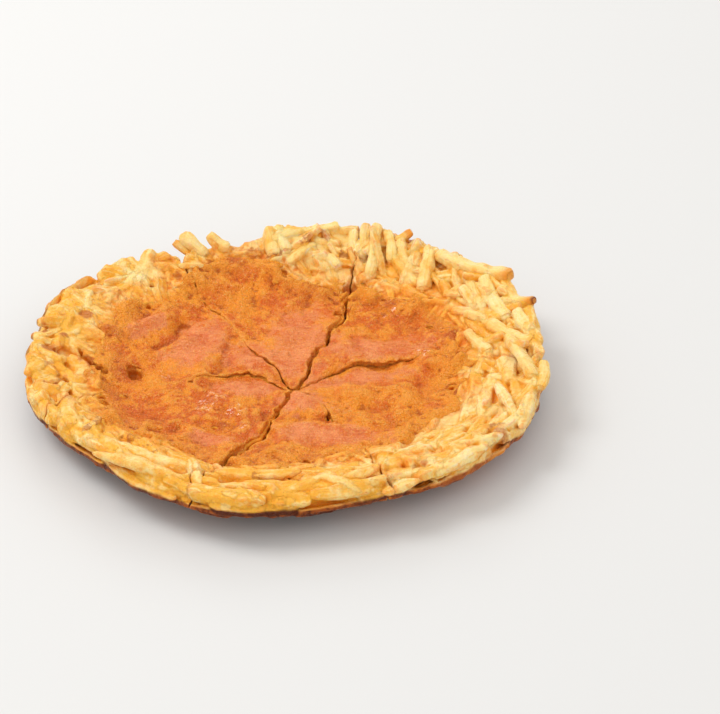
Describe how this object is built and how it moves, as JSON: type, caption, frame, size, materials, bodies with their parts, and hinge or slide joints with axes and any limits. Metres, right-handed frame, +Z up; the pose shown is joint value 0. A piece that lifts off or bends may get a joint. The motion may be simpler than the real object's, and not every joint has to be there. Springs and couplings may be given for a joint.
{
  "type": "cheese potato pancake",
  "caption": "Fried pancake of shredded potato with melted cheese over its dished middle, cut in place into wedges that still lie in the round.",
  "frame": {"origin": "on the ground under the middle of the pancake's box", "axes": "+Z up through the thin middle, +X to the right and +Y away from the eater, who sits at -Y"},
  "size_m": [0.2477, 0.2358, 0.0258],
  "materials": {
    "fried_potato": "matte, moist fried potato",
    "melted_cheese": "satin, melted and browned cheese"
  },
  "bodies": {
    "root": {"potato_back": "fried_potato", "potato_right_back": "fried_potato", "potato_right_front": "fried_potato", "potato_front": "fried_potato", "potato_left_front": "fried_potato", "potato_left_back": "fried_potato", "cheese_back": "melted_cheese", "cheese_right_back": "melted_cheese", "cheese_right_front": "melted_cheese", "cheese_front": "melted_cheese", "cheese_left_front": "melted_cheese", "cheese_left_back": "melted_cheese"}
  },
  "joints": []
}
